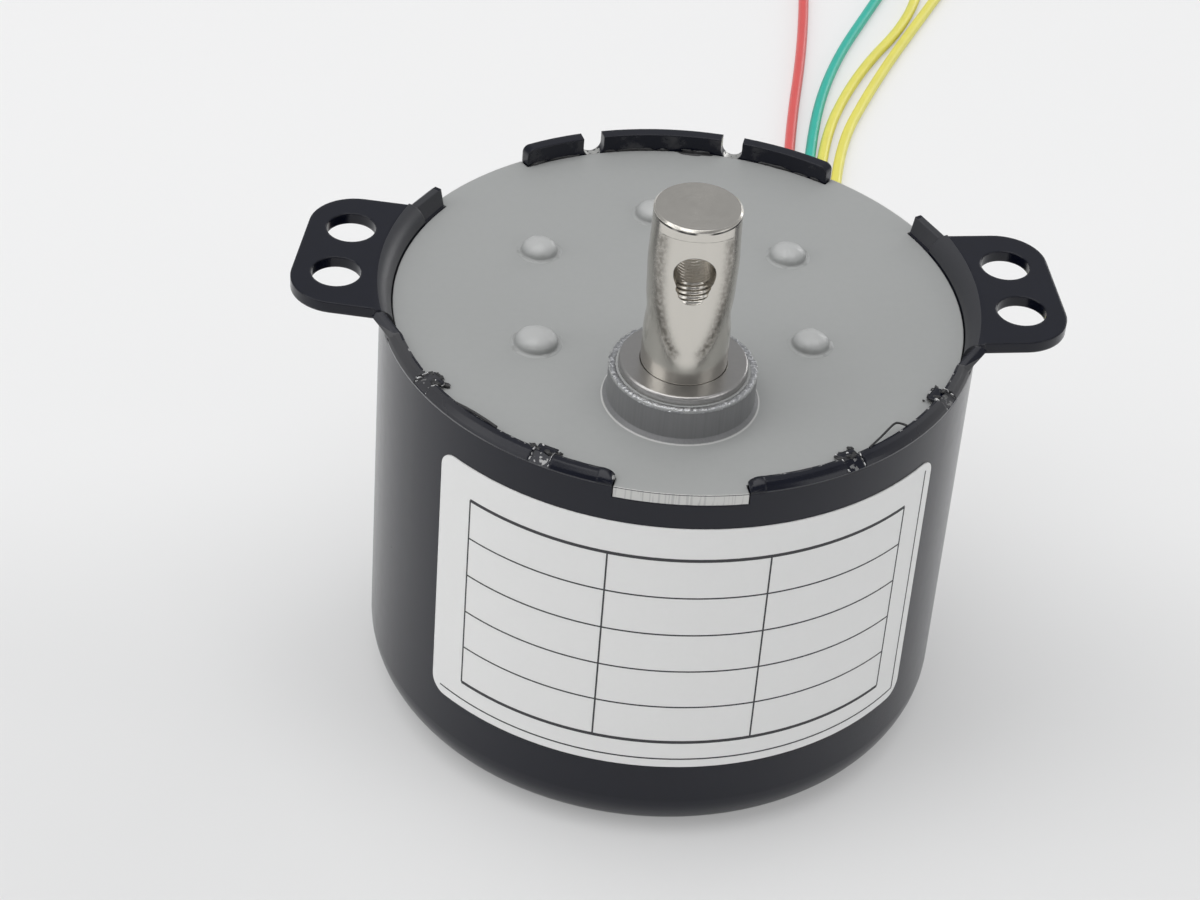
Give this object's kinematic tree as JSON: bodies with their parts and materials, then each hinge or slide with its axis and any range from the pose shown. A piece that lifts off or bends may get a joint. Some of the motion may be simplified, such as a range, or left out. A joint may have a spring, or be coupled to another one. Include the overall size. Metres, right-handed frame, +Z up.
{
  "type": "synchronous gear motor",
  "caption": "Drum-shaped synchronous gear motor with side mounting ears, a grey cover plate, an off-centre output shaft with a tapped cross hole, and loose wire leads.",
  "frame": {"origin": "middle of the can's flat bottom face", "axes": "+Z up along the output shaft, +X along the ears, -Y towards the label and the output shaft"},
  "size_m": [0.0855, 0.1811, 0.0559],
  "materials": {
    "black_paint": "semi-gloss black paint",
    "grey_paint": "satin grey paint",
    "label_paper": "white printed paper",
    "nickel": "bright nickel plate",
    "bush_steel": "sintered steel",
    "zinc_steel": "bright zinc",
    "gear_steel": "bare steel",
    "bronze": "oiled bronze",
    "brass": "machined brass",
    "copper": "enamelled wire",
    "ferrite": "dull ferrite",
    "hub_plastic": "natural nylon",
    "bobbin_plastic": "black nylon",
    "red_lead": "vinyl insulation",
    "green_lead": "vinyl insulation",
    "yellow_lead": "vinyl insulation",
    "tin": "tinned copper"
  },
  "bodies": {
    "housing": {"drum_can": "black_paint", "rating_label": "label_paper", "cover_plate": "grey_paint", "output_bush": "bush_steel", "output_foot_bush": "bronze", "gear_base_plate": "zinc_steel", "plate_posts": "zinc_steel", "first_gear_pin": "gear_steel", "second_gear_pin": "gear_steel", "third_gear_pin": "gear_steel", "fourth_gear_pin": "gear_steel", "fifth_gear_pin": "gear_steel", "rotor_axle": "gear_steel", "axle_bush": "bronze", "rotor_washer": "zinc_steel", "axle_clip": "zinc_steel", "lower_stator_bottom_pole": "zinc_steel", "lower_stator_top_pole": "zinc_steel", "upper_stator_bottom_pole": "zinc_steel", "upper_stator_top_pole": "zinc_steel", "lower_bobbin": "bobbin_plastic", "upper_bobbin": "bobbin_plastic", "lower_winding": "copper", "upper_winding": "copper", "lead_outlet": "bobbin_plastic", "red_lead": "red_lead", "green_lead": "green_lead", "near_yellow_lead": "yellow_lead", "far_yellow_lead": "yellow_lead", "tinned_lead_ends": "tin"},
    "rotor": {"rotor_magnet": "ferrite", "rotor_hub": "hub_plastic", "rotor_pinion": "brass"},
    "first_gear": {"first_wheel": "brass", "first_pinion": "gear_steel"},
    "second_gear": {"second_wheel": "brass", "second_pinion": "gear_steel"},
    "third_gear": {"third_wheel": "gear_steel", "third_pinion": "gear_steel"},
    "fourth_gear": {"fourth_wheel": "gear_steel", "fourth_pinion": "gear_steel"},
    "fifth_gear": {"fifth_wheel": "gear_steel", "fifth_pinion": "gear_steel"},
    "output": {"output_shaft": "nickel", "output_gear": "gear_steel", "output_washer": "zinc_steel"}
  },
  "joints": [
    {"name": "rotor_spin", "type": "hinge", "parent": "housing", "child": "rotor", "pos_m": [0, 0, 0], "axis": [0, 0, 1], "continuous": true},
    {"name": "first_gear_spin", "type": "hinge", "parent": "housing", "child": "first_gear", "pos_m": [0.01091, -0.00423, 0], "axis": [0, 0, 1], "continuous": true},
    {"name": "second_gear_spin", "type": "hinge", "parent": "housing", "child": "second_gear", "pos_m": [0.00944, 0.00835, 0], "axis": [0, 0, 1], "continuous": true},
    {"name": "third_gear_spin", "type": "hinge", "parent": "housing", "child": "third_gear", "pos_m": [-0.00206, 0.01364, 0], "axis": [0, 0, 1], "continuous": true},
    {"name": "fourth_gear_spin", "type": "hinge", "parent": "housing", "child": "fourth_gear", "pos_m": [-0.01185, 0.00707, 0], "axis": [0, 0, 1], "continuous": true},
    {"name": "fifth_gear_spin", "type": "hinge", "parent": "housing", "child": "fifth_gear", "pos_m": [-0.01177, -0.0062, 0], "axis": [0, 0, 1], "continuous": true},
    {"name": "output_spin", "type": "hinge", "parent": "housing", "child": "output", "pos_m": [0, -0.0124, 0], "axis": [0, 0, 1], "continuous": true}
  ],
  "couplings": [
    {"joint": "first_gear_spin", "follows": "rotor_spin", "ratio": -0.25},
    {"joint": "second_gear_spin", "follows": "rotor_spin", "ratio": 0.0625},
    {"joint": "third_gear_spin", "follows": "rotor_spin", "ratio": -0.025},
    {"joint": "fourth_gear_spin", "follows": "rotor_spin", "ratio": 0.01},
    {"joint": "fifth_gear_spin", "follows": "rotor_spin", "ratio": -0.004},
    {"joint": "output_spin", "follows": "rotor_spin", "ratio": 0.002}
  ]
}
